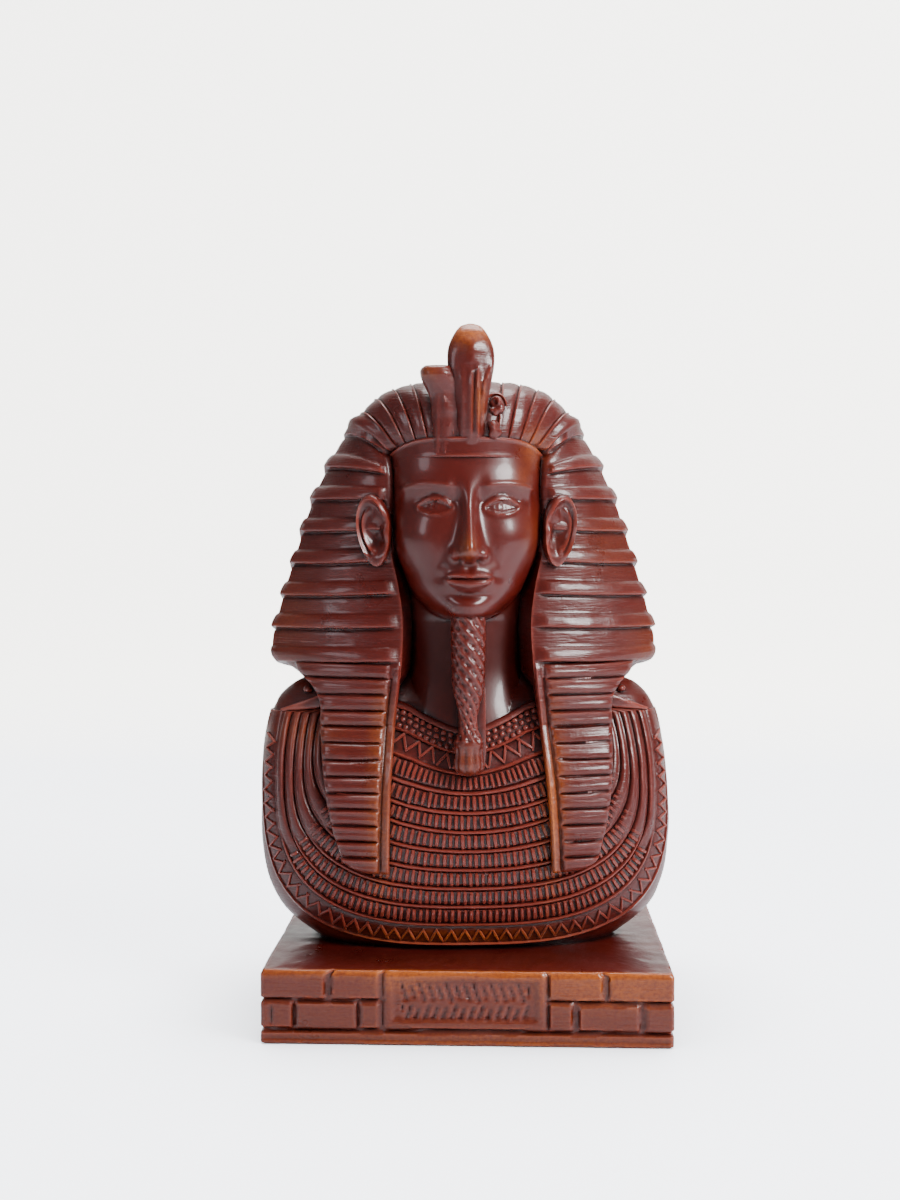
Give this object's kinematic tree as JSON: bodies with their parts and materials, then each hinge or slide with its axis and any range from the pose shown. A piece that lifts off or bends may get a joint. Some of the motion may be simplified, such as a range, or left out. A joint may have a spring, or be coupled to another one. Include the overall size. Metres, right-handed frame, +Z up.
{
  "type": "pharaoh bust",
  "caption": "Small resin bust of a pharaoh in a striped headcloth with brow cobra, plaited beard and broad collar, cast in one with a brick-patterned plinth.",
  "frame": {"origin": "centre of the plinth's underside, on the surface the bust stands on", "axes": "+Z up, -Y the way the plinth's plaque faces, +X to the right as seen from the front"},
  "size_m": [0.094, 0.064, 0.1535],
  "materials": {
    "stained_resin": "cast resin with a glossy dark mahogany stain, rubbed back to amber on the raised edges"
  },
  "bodies": {
    "root": {"pharaoh_bust": "stained_resin"}
  },
  "joints": []
}
